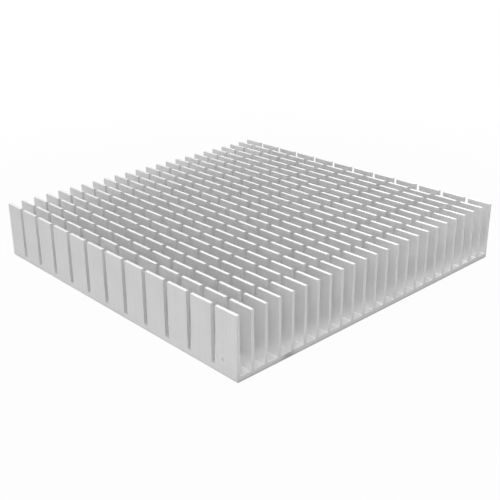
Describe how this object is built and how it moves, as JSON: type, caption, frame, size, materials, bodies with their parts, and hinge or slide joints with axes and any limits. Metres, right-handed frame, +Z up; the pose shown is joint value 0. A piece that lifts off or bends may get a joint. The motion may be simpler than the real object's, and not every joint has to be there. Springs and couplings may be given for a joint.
{
  "type": "extruded heat sink",
  "caption": "Square cross-cut heat sink: a flat base plate carrying straight rows of upright tines, for cooling a hot part pressed to its underside.",
  "frame": {"origin": "centre of the flat underside", "axes": "+X along the fins, +Y across the fins, +Z up from the underside to the fin tips"},
  "size_m": [0.15, 0.15, 0.025],
  "materials": {
    "heat_sink": "mill-finish extruded aluminium with sawn ends and saw cuts"
  },
  "bodies": {
    "root": {"heat_sink": "heat_sink"}
  },
  "joints": []
}
